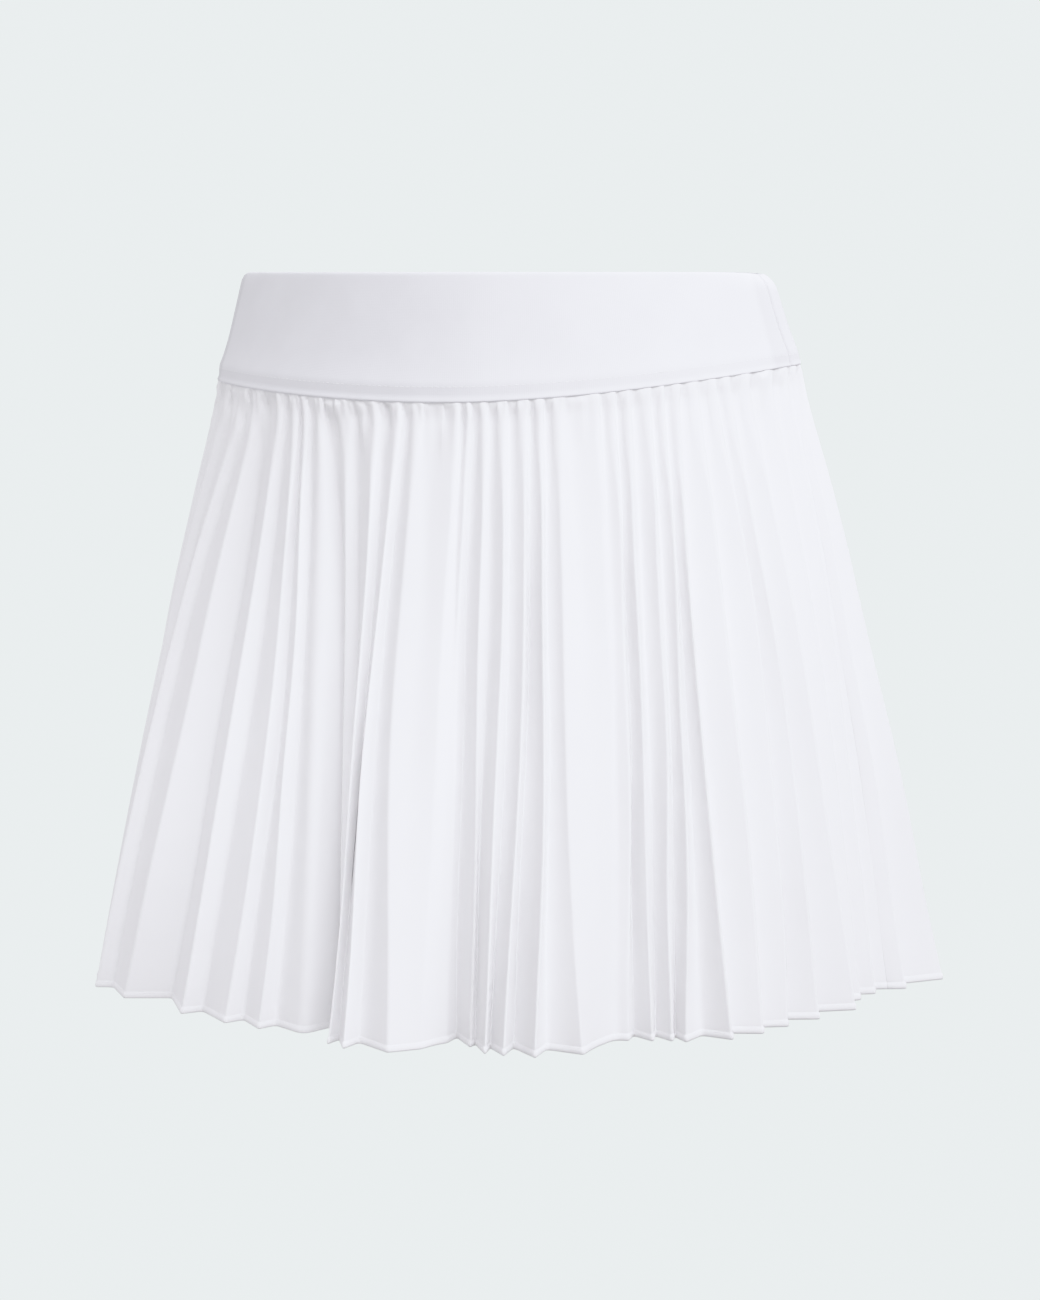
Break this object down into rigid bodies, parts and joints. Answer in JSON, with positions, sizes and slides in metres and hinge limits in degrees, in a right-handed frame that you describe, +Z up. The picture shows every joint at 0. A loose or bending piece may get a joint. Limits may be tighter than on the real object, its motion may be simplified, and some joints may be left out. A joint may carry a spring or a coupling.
{
  "type": "tennis skirt",
  "caption": "Short pleated sports skirt in worn shape: a wide elastic waistband over narrow accordion pleats that flare to an open hem, hollow from waist to hem.",
  "frame": {"origin": "centre of the waist opening, level with the waistband's top edge, where the skirt is held when worn", "axes": "+Z up along the body, the skirt's front faces -Y, +X to the right of someone who looks at the front"},
  "size_m": [0.3865, 0.2882, 0.3237],
  "materials": {
    "elastic": "matt, smooth knit",
    "pleated_cloth": "matt, fine plain weave"
  },
  "bodies": {
    "root": {"waistband_front": "elastic", "waistband_back": "elastic", "skirt_front": "pleated_cloth", "skirt_back": "pleated_cloth"}
  },
  "joints": []
}
